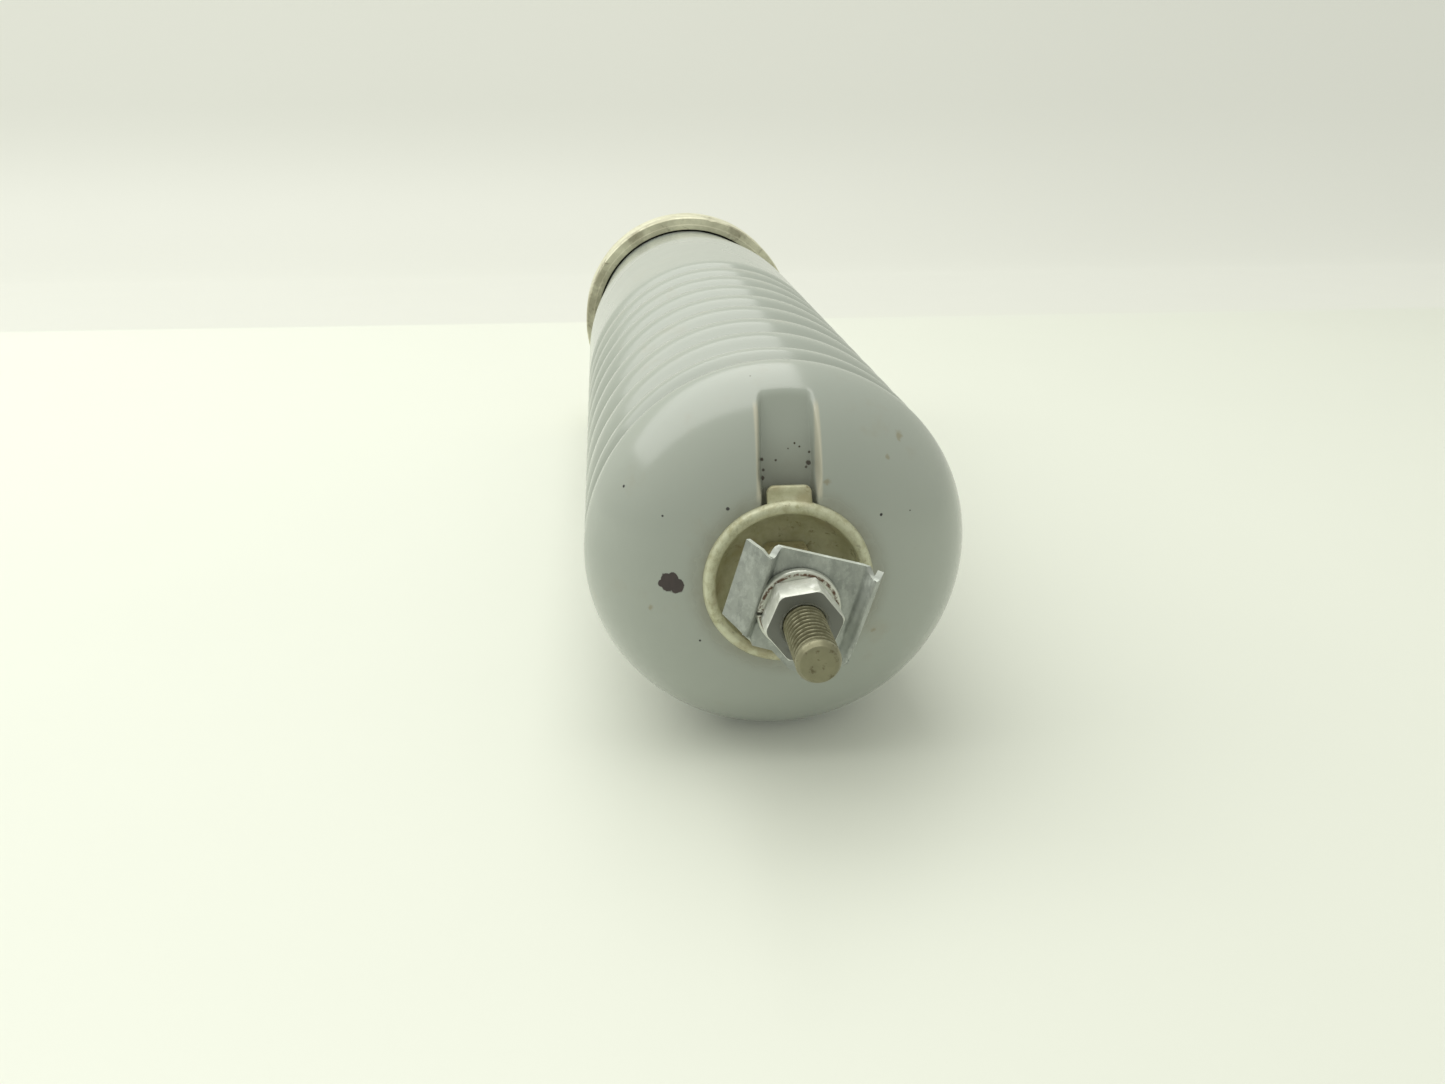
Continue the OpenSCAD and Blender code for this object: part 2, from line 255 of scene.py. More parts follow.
class Shader:
    """A short way to write a material's nodes. Sizes are in millimetres, in the part's frame."""

    def __init__(self, name, **sockets):
        self.material = bpy.data.materials.new(name)
        self.material.use_nodes = True
        self.tree = self.material.node_tree
        self.bsdf = next(n for n in self.tree.nodes if n.type == "BSDF_PRINCIPLED")
        self.place = self.node("TexCoord").outputs["Object"]
        for socket, value in sockets.items():
            self.bsdf.inputs[socket.replace("_", " ")].default_value = value

    def node(self, kind, **settings):
        made = self.tree.nodes.new("ShaderNode" + kind)
        for key, value in settings.items():
            setattr(made, key, value)
        return made

    def put(self, socket, value):
        if isinstance(value, bpy.types.NodeSocket):
            self.tree.links.new(value, socket)
        elif isinstance(value, tuple) and len(value) == 3 and socket.type == "RGBA":
            socket.default_value = (*value, 1)
        else:
            socket.default_value = value

    def math(self, operation, a, b=0.0):
        made = self.node("Math", operation=operation)
        self.put(made.inputs[0], a)
        self.put(made.inputs[1], b)
        return made.outputs[0]

    def times(self, a, b):
        return self.math("MULTIPLY", a, b)

    def scaled(self, size, stretch=(1, 1, 1)):
        """The place in the part, with size as its unit of length."""
        made = self.node("VectorMath", operation="MULTIPLY")
        self.put(made.inputs[0], self.place)
        self.put(made.inputs[1], tuple(MM / size * s for s in stretch))
        return made.outputs[0]

    def noise(self, size, detail=3.0, rough=0.5, stretch=(1, 1, 1), distortion=0.0):
        """Noise from 0 to 1 whose features are about size across."""
        made = self.node("TexNoise")
        self.put(made.inputs["Vector"], self.scaled(size, stretch))
        self.put(made.inputs["Scale"], 1.0)
        self.put(made.inputs["Detail"], detail)
        self.put(made.inputs["Roughness"], rough)
        self.put(made.inputs["Distortion"], distortion)
        return made.outputs["Fac"]

    def cells(self, size):
        made = self.node("TexVoronoi")
        self.put(made.inputs["Vector"], self.scaled(size))
        self.put(made.inputs["Scale"], 1.0)
        return made

    def lot(self, cells):
        """A random number for each cell."""
        pick = self.node("SeparateColor")
        self.put(pick.inputs[0], cells.outputs["Color"])
        return pick.outputs[0]

    def tool_rings(self, scale, detail):
        """Fine rings round the axis, as spinning and turning leave them."""
        made = self.node("TexNoise", noise_dimensions="1D")
        self.put(made.inputs["W"], self.axis_distance())
        self.put(made.inputs["Scale"], scale)
        self.put(made.inputs["Detail"], detail)
        return made.outputs["Fac"]

    def step(self, value, low, high):
        """0 below low, 1 above high and smooth between; low may be the larger one."""
        made = self.node("MapRange", interpolation_type="SMOOTHSTEP")
        self.put(made.inputs["Value"], value)
        flipped = low > high
        self.put(made.inputs["From Min"], min(low, high))
        self.put(made.inputs["From Max"], max(low, high))
        self.put(made.inputs["To Min"], 1.0 if flipped else 0.0)
        self.put(made.inputs["To Max"], 0.0 if flipped else 1.0)
        return made.outputs["Result"]

    def mix(self, factor, a, b):
        """Colour a where factor is 0, and b where it is 1."""
        made = self.node("Mix", data_type="RGBA")
        self.put(made.inputs[0], factor)
        self.put(made.inputs[6], a)
        self.put(made.inputs[7], b)
        return made.outputs[2]

    def between(self, factor, a, b):
        """Number a where factor is 0, and b where it is 1."""
        made = self.node("Mix", data_type="FLOAT")
        self.put(made.inputs[0], factor)
        self.put(made.inputs[2], a)
        self.put(made.inputs[3], b)
        return made.outputs[0]

    def coordinate(self, axis):
        """One coordinate, in millimetres."""
        made = self.node("SeparateXYZ")
        self.put(made.inputs[0], self.place)
        return self.times(made.outputs[axis], MM)

    def axis_distance(self):
        """Distance from the part's axis, in millimetres."""
        flat = self.node("VectorMath", operation="MULTIPLY")
        self.put(flat.inputs[0], self.place)
        self.put(flat.inputs[1], (MM, 0, MM))
        made = self.node("VectorMath", operation="LENGTH")
        self.put(made.inputs[0], flat.outputs[0])
        return made.outputs["Value"]

    def spots(self, marks, ragged=0.35, soft=0.25):
        """1 on each mark and 0 elsewhere. A mark is (x, station, z, radius)."""
        wobble = self.times(self.math("SUBTRACT", self.noise(1.3, 4), 0.5), ragged * 4)
        total = 0.0
        for x, station, z, radius in marks:
            away = self.node("VectorMath", operation="DISTANCE")
            self.put(away.inputs[0], self.scaled(1))
            self.put(away.inputs[1], (x, FACE_Y + station, z))
            shifted = self.math("ADD", away.outputs["Value"], self.times(wobble, radius))
            mark = self.step(shifted, radius * (1 + soft), radius * (1 - soft))
            total = self.math("MAXIMUM", total, mark)
        return total

    def bump(self, *layers):
        """Bumps on top of each other. A layer is (height, depth in millimetres)."""
        normal = None
        for height, depth in layers:
            made = self.node("Bump")
            self.put(made.inputs["Strength"], 1.0)
            self.put(made.inputs["Distance"], depth / MM)
            self.put(made.inputs["Height"], height)
            if normal is not None:
                self.put(made.inputs["Normal"], normal)
            normal = made.outputs["Normal"]
        return normal

    def done(self, colour, roughness, normal=None):
        self.put(self.bsdf.inputs["Base Color"], colour)
        self.put(self.bsdf.inputs["Roughness"], roughness)
        if normal is not None:
            self.put(self.bsdf.inputs["Normal"], normal)
        return self.material


# -------------------------------- materials

# Marks on the glaze and stains on the cap, as (x, station, z, radius).
PAINT_DAB = [front_mark(-22.9, 0.4, 1.9), front_mark(-21.6, -0.2, 1.55), front_mark(-22.3, 1.3, 1.2),
             front_mark(-24.2, 0.1, 0.85)]
FACE_SPECKS = [
    front_mark(-31, 17.2, 0.28), front_mark(-23.9, 13.3, 0.2), front_mark(17.8, 12.9, 0.3),
    front_mark(23.9, 12.9, 0.16), front_mark(-17.1, -11.9, 0.2), front_mark(-11.7, 15.2, 0.3),
    (-13.6, 136, 37, 0.4), (-30.1, 209.5, 24.8, 0.35),
]
BROWN_SPECKS = [
    front_mark(7.1, 19.9, 0.5), front_mark(22.5, 26.3, 0.8), front_mark(-26.5, -5.5, 0.5),
    front_mark(17.2, -11, 0.4), front_mark(19.5, 23.2, 0.4), (17.1, 83.7, 35.5, 0.8), (-19, 42.8, 34.1, 0.4),
]
GROOVE_DIRT = [
    groove_mark(2.6, 25.2, 0.2), groove_mark(1.7, 25.8, 0.15), groove_mark(0.4, 24.9, 0.18),
    groove_mark(4.3, 22.2, 0.45), groove_mark(3.8, 21.4, 0.38), groove_mark(-4.6, 19.7, 0.28),
    groove_mark(-2, 22.8, 0.2), groove_mark(-4.7, 23.0, 0.28), groove_mark(-4.4, 21.1, 0.28),
    groove_mark(4.5, 24.1, 0.22),
]
CAP_STAINS = [(-40, 278, 7, 7), (-35.5, 277.5, 18.5, 4), (-21, 277, 34, 3), (19, 277, 36, 3.5)]


def groove_tone(m, tone, front):
    """Cream edges with a painted highlight and a sooty floor with painted shade in the vent groove;
    front is 1 on the front and 0 behind it.
    """
    side = m.math("ABSOLUTE", m.coordinate("X"))
    # Cream of thin glaze with a painted highlight along the groove's top edges.
    edge = m.times(m.step(side, 5.1, 5.5), m.step(side, 6.5, 6.0))
    edge = m.times(edge, m.times(m.step(m.coordinate("Z"), 15.5, 18.0), front))
    tone = m.mix(m.times(edge, 0.7), tone, (0.56, 0.53, 0.42))
    # Soot and painted shade on the groove floor, low down near the cup.
    groove_soot_and_shade = m.times(m.step(side, 5.4, 4.9), m.step(m.coordinate("Z"), 30.0, 17.0))
    groove_soot_and_shade = m.times(groove_soot_and_shade, m.times(front, m.step(m.coordinate("Z"), 14.0, 16.0)))
    groove_soot_and_shade = m.times(groove_soot_and_shade, m.between(m.noise(4.0, 4), 0.45, 0.85))
    return m.mix(groove_soot_and_shade, tone, (0.15, 0.155, 0.115))


def glaze():
    """Grey glaze with pooled tone, grime and painted shade round the cup, cream edges with a painted
    highlight and a sooty floor with painted shade in the vent groove, faint stains, specks,
    pinholes, a dab of dark paint and a slight orange peel."""
    m = Shader("grey_glaze", IOR=1.52, Coat_Weight=0.2, Coat_Roughness=0.14)
    tone = m.mix(m.noise(26, 3), (0.340, 0.372, 0.332), (0.400, 0.428, 0.385))
    stain = m.times(m.step(m.noise(13, 4, 0.6), 0.58, 0.78), 0.30)
    tone = m.mix(stain, tone, (0.33, 0.30, 0.21))
    # Grime and painted shade round the cup, on the front only: a darker ring where the face meets the cup.
    near_cup = m.step(m.axis_distance(), 21.0, 16.2)
    front = m.step(m.coordinate("Y"), FACE_Y + 9, FACE_Y + 7)
    grime = m.times(m.times(near_cup, front), m.between(m.noise(2.2, 4), 0.1, 0.75))
    tone = m.mix(grime, tone, (0.22, 0.20, 0.14))
    tone = groove_tone(m, tone, front)
    # Marks: brown runs, pinholes, specks, dirt and the dab of dark paint.
    rust_run = m.times(m.spots(BROWN_SPECKS, 0.9, 0.8), 0.5)
    tone = m.mix(rust_run, tone, (0.24, 0.19, 0.08))
    pinhole = m.cells(5.5)
    chosen = m.step(m.lot(pinhole), 0.80, 0.84)
    dots = m.times(chosen, m.step(pinhole.outputs["Distance"], 0.045, 0.02))
    tone = m.mix(m.times(dots, 0.6), tone, (0.10, 0.085, 0.06))
    tone = m.mix(m.spots(FACE_SPECKS, 0.3), tone, (0.03, 0.028, 0.03))
    tone = m.mix(m.spots(GROOVE_DIRT, 0.9, 0.4), tone, (0.045, 0.035, 0.022))
    dab = m.spots(PAINT_DAB, 0.22, 0.07)
    streaks = m.noise(0.9, 5, 0.6, (1, 1, 0.35))
    tone = m.mix(dab, tone, m.mix(streaks, (0.012, 0.008, 0.008), (0.055, 0.030, 0.030)))
    rough = m.between(m.noise(9, 4), 0.15, 0.24)
    rough = m.between(dab, rough, 0.42)
    rough = m.between(grime, rough, 0.55)
    peel = m.noise(3.2, 2)
    swell = m.noise(22, 2)
    return m.done(tone, rough, m.bump((swell, 0.08), (peel, 0.006), (dab, 0.05)))


def aged_tin(name, light, dark, grime, size, stains=()):
    """Old tinned sheet: spun rings, clouded patches, brown grime and larger stains."""
    m = Shader(name, Metallic=0.35, IOR=1.5)
    clouds = m.step(m.noise(size, 5, 0.65), 0.32, 0.68)
    tone = m.mix(clouds, dark, light)
    fine = m.step(m.noise(size / 7, 4, 0.7), 0.35, 0.75)
    tone = m.mix(m.times(fine, 0.35), tone, dark)
    dirt = m.step(m.noise(size / 2.5, 6, 0.7, distortion=0.6), 0.57, 0.70)
    tone = m.mix(m.times(dirt, 0.7), tone, grime)
    pits = m.step(m.noise(0.7, 4, 0.7), 0.66, 0.74)
    tone = m.mix(m.times(pits, 0.6), tone, grime)
    if stains:
        tone = m.mix(m.times(m.spots(stains, 0.5, 0.7), 0.55), tone, grime)
    rough = m.between(dirt, m.between(clouds, 0.58, 0.42), 0.72)
    normal = m.bump((m.tool_rings(3.5, 3.0), 0.006), (m.noise(1.6, 4), 0.03), (pits, -0.03))
    return m.done(tone, rough, normal)


def cup_tin():
    """The cup's tin: darker in patches deeper in the bowl, towards the floor."""
    m = Shader("cup_tin", Metallic=0.2, IOR=1.5)
    clouds = m.step(m.noise(5, 5, 0.65), 0.3, 0.7)
    tone = m.mix(clouds, (0.42, 0.41, 0.25), (0.58, 0.58, 0.415))
    dirt = m.step(m.noise(2.2, 6, 0.7, distortion=0.6), 0.56, 0.70)
    tone = m.mix(m.times(dirt, 0.75), tone, (0.15, 0.12, 0.06))
    deep = m.step(m.coordinate("Y"), FACE_Y + 1.0, FACE_Y + 5.0)
    tone = m.mix(m.times(deep, m.between(m.noise(1.8, 4), 0.05, 0.45)), tone, (0.22, 0.195, 0.105))
    worn = m.step(m.noise(1.5, 6, 0.7), 0.36, 0.60)
    bead = m.step(m.coordinate("Y"), FACE_Y + 0.3, FACE_Y - 0.6)
    tone = m.mix(m.times(m.times(bead, worn), 0.8), tone, (0.66, 0.67, 0.50))
    scuff = m.step(m.noise(0.9, 5, 0.7, (1, 1, 0.35)), 0.60, 0.68)
    tone = m.mix(m.times(scuff, 0.35), tone, (0.62, 0.62, 0.47))
    brown = m.times(m.step(m.noise(8, 3), 0.52, 0.7), 0.4)
    tone = m.mix(brown, tone, (0.28, 0.21, 0.10))
    rough = m.between(dirt, m.between(clouds, 0.5, 0.34), 0.7)
    normal = m.bump((m.tool_rings(4.0, 2.0), 0.03), (m.noise(1.2, 5, 0.6), 0.035))
    return m.done(tone, rough, normal)


def zinc(name, light, dark, rust=0.0, streak=(1, 1, 1), low=0.34, high=0.5, front=1.0, edge=1.0):
    """Zinc on steel: grey spangle, chalky bloom and a little rust. Faces along the axis get painted
    shade, by the factor front, and faces that look sideways a painted highlight, by edge."""
    m = Shader(name, Metallic=0.5, IOR=1.5)
    flake = m.between(0.15, m.noise(3.5, 4, 0.6, streak), m.lot(m.cells(1.1)))
    tone = m.mix(m.step(flake, 0.25, 0.75), dark, light)
    bloom = m.step(m.noise(2.4, 6, 0.75, streak), 0.50, 0.66)
    tone = m.mix(m.times(bloom, 0.55), tone, tuple(min(1, 1.45 * c) for c in light))
    grain = m.step(m.noise(0.45, 4, 0.7), 0.56, 0.68)
    tone = m.mix(m.times(grain, 0.35), tone, dark)
    scratch = m.step(m.noise(0.5, 3, 0.6, (0.12, 1, 1)), 0.64, 0.72)
    tone = m.mix(m.times(scratch, 0.35), tone, dark)
    red = m.times(m.step(m.noise(1.7, 6, 0.75), 0.60, 0.70), rust)
    tone = m.mix(red, tone, (0.17, 0.075, 0.03))
    facing = m.node("SeparateXYZ")
    m.put(facing.inputs[0], m.node("TexCoord").outputs["Normal"])
    along = m.math("ABSOLUTE", facing.outputs["Y"])
    # Painted shade: faces that look along the axis are darkened.
    if front < 1:
        tone = m.mix(m.step(along, 0.80, 0.97), tone, tuple(front * c for c in dark))
    # Painted highlight: faces that look sideways are brightened.
    if edge > 1:
        tone = m.mix(m.step(along, 0.45, 0.20), tone, tuple(min(0.85, edge * c) for c in light))
    rough = m.between(m.math("MAXIMUM", bloom, red), m.between(flake, high, low), 0.68)
    normal = m.bump((m.noise(1.1, 5, 0.6), 0.03), (scratch, -0.008), (red, 0.02))
    return m.done(tone, rough, normal)


def washer_zinc(name):
    """Bright zinc, with rust along the front edge and in the slit on the left."""
    m = Shader(name, Metallic=0.75, IOR=1.5)
    tone = m.mix(m.noise(1.2, 5, 0.7), (0.50, 0.515, 0.465), (0.78, 0.80, 0.73))
    radius = m.axis_distance()
    ring = m.times(m.step(radius, 6.7, 7.0), m.step(radius, 7.55, 7.25))
    slit = m.times(m.step(m.coordinate("X"), -5.0, -5.6), m.step(m.coordinate("Z"), 1.2, 0.5))
    slit = m.times(slit, m.step(m.coordinate("Z"), -1.4, -0.6))
    broken = m.step(m.noise(1.1, 5, 0.7), 0.40, 0.54)
    red = m.times(m.math("MAXIMUM", ring, slit), broken)
    tone = m.mix(m.times(red, 0.9), tone, (0.16, 0.075, 0.04))
    rough = m.between(red, 0.42, 0.8)
    return m.done(tone, rough, m.bump((m.noise(0.9, 5, 0.6), 0.03), (red, 0.03)))


def stud_metal():
    """Worn tin over bronze, darker in the thread's roots."""
    m = Shader("stud_metal", Metallic=0.5, IOR=1.5)
    tone = m.mix(m.noise(3.0, 5, 0.65), (0.10, 0.094, 0.050), (0.20, 0.190, 0.112))
    worn = m.step(m.axis_distance(), STUD_R - 0.32, STUD_R - 0.04)
    crest = m.times(worn, m.between(m.step(m.noise(1.1, 5, 0.7), 0.38, 0.62), 0.05, 0.9))
    tone = m.mix(crest, tone, (0.28, 0.27, 0.18))
    root = m.times(m.step(m.axis_distance(), STUD_R - 0.35, STUD_R - 0.7), 0.75)
    tip = m.step(m.coordinate("Y"), FACE_Y + STUD_TIP + 2.4, FACE_Y + STUD_TIP + 1.2)
    ground = m.step(m.coordinate("Y"), FACE_Y + GROUND_TIP - 2.4, FACE_Y + GROUND_TIP - 1.2)
    root = m.times(root, m.math("SUBTRACT", 1.0, m.math("MAXIMUM", tip, ground)))
    tone = m.mix(root, tone, (0.035, 0.028, 0.014))
    end = m.times(tip, m.between(m.noise(1.8, 5), 0.2, 0.75))
    tone = m.mix(end, tone, (0.31, 0.30, 0.195))
    dirt = m.step(m.noise(1.6, 6, 0.7), 0.56, 0.68)
    tone = m.mix(m.times(dirt, 0.65), tone, (0.10, 0.078, 0.040))
    rough = m.between(m.math("MAXIMUM", root, dirt), 0.42, 0.70)
    return m.done(tone, rough, m.bump((m.noise(0.8, 5, 0.65), 0.04), (m.noise(0.22, 2), 0.006)))


def rubber(name, tone, grain):
    m = Shader(name, IOR=1.5)
    colour = m.mix(m.noise(6, 4), tuple(c * 0.75 for c in tone), tuple(c * 1.4 for c in tone))
    return m.done(colour, m.between(m.noise(3, 3), 0.62, 0.85), m.bump((m.noise(grain, 4), 0.06)))


def granular(name, light, dark, size, rough, depth, metallic=0.0):
    """Pressed, fired or drawn stock with an even grain."""
    m = Shader(name, Metallic=metallic, IOR=1.5)
    grains = m.cells(size).outputs["Distance"]
    colour = m.mix(m.between(0.5, grains, m.noise(size * 6, 4)), dark, light)
    return m.done(colour, m.between(m.noise(size * 4, 3), rough, rough + 0.15), m.bump((grains, depth)))


def fibre(name, light, dark):
    """Wound board: long fibres round the tube under a thin varnish."""
    m = Shader(name, IOR=1.5, Coat_Weight=0.3, Coat_Roughness=0.25)
    threads = m.noise(1.2, 4, 0.6, (1, 0.08, 1))
    colour = m.mix(threads, dark, light)
    return m.done(colour, m.between(threads, 0.5, 0.7), m.bump((threads, 0.03)))


MATERIALS = {
    "glaze": glaze(),
    "cup": cup_tin(),
    "cap": aged_tin("cap_tin", (0.79, 0.775, 0.595), (0.55, 0.535, 0.40), (0.20, 0.175, 0.11), 13,
                    CAP_STAINS),
    "sleeve": aged_tin("sleeve_tin", (0.62, 0.58, 0.40), (0.42, 0.37, 0.22), (0.10, 0.07, 0.03), 3),
    "stud": stud_metal(),
    # The plate's sideways faces get a painted highlight.
    "plate": zinc("plate_zinc", (0.42, 0.445, 0.415), (0.27, 0.29, 0.27), 0.12, (1, 1, 0.6), edge=1.8),
    # The nut's faces along the axis get painted shade.
    "nut": zinc("nut_zinc", (0.74, 0.76, 0.69), (0.56, 0.58, 0.52), 0.2, front=0.30),
    "line_washer": washer_zinc("line_washer_zinc"),
    "ground_washer": zinc("ground_washer_zinc", (0.46, 0.475, 0.45), (0.27, 0.28, 0.265), 0.5),
    "bitumen": rubber("bitumen", (0.018, 0.016, 0.013), 1.2),
    "gasket": rubber("gasket_rubber", (0.028, 0.028, 0.026), 0.8),
    "sheet": zinc("contact_sheet", (0.45, 0.46, 0.46), (0.28, 0.29, 0.29), 0.05),
    "spring": granular("spring_wire", (0.36, 0.37, 0.38), (0.22, 0.23, 0.24), 0.8, 0.3, 0.01, 0.9),
    "copper": granular("copper_strip", (0.62, 0.29, 0.16), (0.42, 0.17, 0.09), 1.5, 0.3, 0.01, 0.95),
    "brass": granular("pressed_brass", (0.62, 0.44, 0.18), (0.42, 0.28, 0.10), 1.8, 0.28, 0.01, 0.95),
    "steatite": granular("steatite", (0.70, 0.64, 0.53), (0.56, 0.50, 0.40), 0.9, 0.6, 0.02),
    "carbide": granular("silicon_carbide", (0.085, 0.088, 0.095), (0.018, 0.019, 0.021), 0.45, 0.5, 0.05),
    "board": fibre("varnished_board", (0.36, 0.24, 0.11), (0.21, 0.13, 0.055)),
}


def add_piece(obj, body, node, material):
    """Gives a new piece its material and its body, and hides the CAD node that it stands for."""
    obj.data.materials.append(MATERIALS[material])
    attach(obj, body)
    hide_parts(node)


# -------------------------------- porcelain

def rib_radius(station):
    """Radius behind the lip. Each valley is a sine wave, and a larger power would narrow it."""
    start, pitch = (DOME_END, RIB_START - DOME_END) if station < RIB_START else (RIB_START, RIB_PITCH)
    wave = math.sin(math.pi * (station - start) / pitch) ** 2
    return CREST_R - RIB_DEPTH * wave ** VALLEY_POWER


def housing_outline():
    """The housing's closed outline as (radius, station), from the socket outwards."""
    points = [(SOCKET_R, s) for s in (SEAT_END, 6.0, 4.0, 2.4, 1.2, 0.5)]
    points += [(SOCKET_R + 0.15, 0.15), (SOCKET_R + 0.4, 0.02)]
    # The dome and the lip.
    for k in range(46):
        a = math.pi / 2 - (math.pi / 2 - LIP_TURN) * k / 45
        points.append((FACE_FLAT + DOME_R * math.cos(a), DOME_R - DOME_R * math.sin(a)))
    for k in range(1, 5):
        a = LIP_TURN * (1 - k / 4)
        points.append((CREST_R - LIP_ROUND + LIP_ROUND * math.cos(a), DOME_END - LIP_ROUND * math.sin(a)))
    # The first valley and the ribs.
    stations = [DOME_END + (RIB_START - DOME_END) * k / 12 for k in range(1, 12)]
    rows = 16 * RIB_COUNT
    stations += [RIB_START + (BAND_START - RIB_START) * k / rows for k in range(rows + 1)]
    points += [(rib_radius(station), station) for station in stations]
    # The plain band, the run down to the neck, and the bore.
    points += [(CREST_R, s) for s in range(170, 220, 8)]
    for k in range(20):
        station = BAND_END - 6 + (NECK_START - BAND_END + 6) * k / 19
        ease = 6.0
        drop = (math.hypot(station - BAND_END, ease) + station - BAND_END) / 2
        points.append((CREST_R - (CREST_R - NECK_R) * drop / (NECK_START - BAND_END + ease / 8), station))
    points += [(NECK_R, NECK_START + 1), (NECK_R, HOUSING_END - 0.5), (NECK_R - 0.5, HOUSING_END)]
    points += [(BORE_R, HOUSING_END), (BORE_R, FRONT_WALL), (HOLE_R, FRONT_WALL), (HOLE_R, SEAT_END)]
    return points


def groove_half_width(z):
    """The vent groove widens a little towards the cup, then closes in round it."""
    widest, widest_at, cup_edge = 5.75, 21.5, 16.5
    return widest - 0.035 * max(0.0, z - widest_at) - 0.6 * smoothstep(widest_at, cup_edge, z)


def groove_depth(x, z, station, edge_round):
    """How far the vent groove lies below the front: a flat sloping floor with steep walls."""
    half = groove_half_width(z)
    wall = smoothstep(half - 1.0, half + 0.75, abs(x))
    floor = GROOVE_DEPTH + GROOVE_SLOPE * (z - TAB_TOP) - station
    return smooth_max(0.0, (floor + edge_round) * (1 - wall) - edge_round, edge_round)


def housing_columns():
    """Offsets of the columns that follow the groove, in millimetres from its middle."""
    half = [0.8 * k for k in range(5)] + [3.8, 4.1] + [4.3 + 0.11 * k for k in range(25)] + [7.2, 7.6]
    return [-x for x in reversed(half[1:])] + half


def porcelain():
    """The ribbed barrel. Near the top its columns run straight along the vent groove."""
    strip = housing_columns()
    around = 200
    edge_round = 0.9
    rings = []
    for radius, station in housing_outline():
        base = max(radius, SOCKET_R)
        angles = [math.asin(x / base) for x in strip]
        start, stop = angles[-1], math.tau + angles[0]
        angles += [start + (stop - start) * k / around for k in range(1, around)]
        socket_wall = radius == SOCKET_R
        cut = radius >= SOCKET_R and station < (CUP_FLOOR if socket_wall else DOME_END)
        ring = []
        for angle in angles:
            x, z = radius * math.sin(angle), radius * math.cos(angle)
            s = station
            if cut and z > 0:
                depth = groove_depth(x, z, 0.0 if socket_wall else station, edge_round)
                s += depth * (1 - station / CUP_FLOOR) if socket_wall else depth
            ring.append((x, FACE_Y + s, z))
        rings.append(ring)
    return lofted("porcelain_barrel", rings, loop=True, sharp=50)


# -------------------------------- line terminal

def cup():
    """The pressed cup: a rolled bead on the face, a bowl, and a flat floor with the stud's hole."""
    bead, half_width = 1.5, 1.3
    crest = CUP_R - half_width
    bowl_x, bowl_r, metal = 7.8, 6.4, 1.2
    bowl_y = CUP_FLOOR - metal - bowl_r
    outline = [(CUP_R, 0.0)]
    for k in range(1, 15):
        a = math.pi * k / 16
        lift = bead * math.sin(a) + 0.10 * math.exp(-((a - 1.05) / 0.22) ** 2)
        outline.append((crest + half_width * math.cos(a), -lift))
    rim_a = math.asin(-bowl_y / bowl_r)
    for k in range(15):
        a = rim_a + (math.pi / 2 - rim_a) * k / 14
        outline.append((bowl_x + bowl_r * math.cos(a), bowl_y + bowl_r * math.sin(a)))
    outline += [(5.0, CUP_FLOOR - metal), (4.3, CUP_FLOOR - metal + 0.1)]
    outline += [(4.2, CUP_FLOOR - 0.1), (4.4, CUP_FLOOR)]
    for k in range(13):
        a = math.pi / 2 - math.pi / 2 * k / 12
        r = bowl_r + metal
        x, y = bowl_x + r * math.cos(a), bowl_y + r * math.sin(a)
        if y > 0.35:  # the part of the back that is below the flange
            outline.append((x, y))
    outline.append((SOCKET_R - 0.4, 0.2))
    return turned("terminal_cup_shell", outline, 160, cup_dents)


def cup_dents(radius, station, angle):
    """Small knocks in the rolled bead."""
    knock = 0.10 * round_ripple(radius, angle, 0, 6.0, 3.0)
    on_bead = smoothstep(12.5, 15.0, radius)
    return radius - abs(knock) * on_bead, station + 0.5 * knock * on_bead


def cup_tab():
    """The tongue that rises from the bead into the groove, with rounded corners."""
    half, low, high, corner = 4.3, CUP_R - 1.6, TAB_TOP - 0.1, 1.4
    outline = rounded([(-half, low, 0), (half, low, 0), (half, high, corner), (-half, high, corner)], 6)

    def depth(z):
        """The front surface bends back from the bead and then stands up in the groove."""
        return -0.9 + 1.5 * smoothstep(low, low + 2.4, z) + 0.25 * smoothstep(high - 0.8, high, z)

    rings = []
    # Each ring's share of the outline, and its distance behind the front surface.
    layers = [(0.86, 1.15), (0.95, 1.1), (1.0, 0.85), (1.0, 0.35), (0.96, 0.08)]
    layers += [(0.88 * k / 8, 0.0) for k in range(8, 0, -1)]
    middle = (low + high) / 2
    for share, back in layers:
        ring = []
        for x, z in outline:
            zz = middle + (z - middle) * share
            ring.append((x * share, FACE_Y + depth(zz) + back, zz))
        rings.append(ring)
    rings.append([(0, FACE_Y + depth(middle), middle)])
    return lofted("terminal_cup_tab", rings, sharp=60)


def thread_cut(station, angle):
    """How deep the thread is cut at a point, from 0 on the crest to 1 in the root."""
    t = (station / THREAD_PITCH + angle / math.tau) % 1.0
    flank = abs(2 * t - 1)
    return smoothstep(0.10, 0.86, flank)


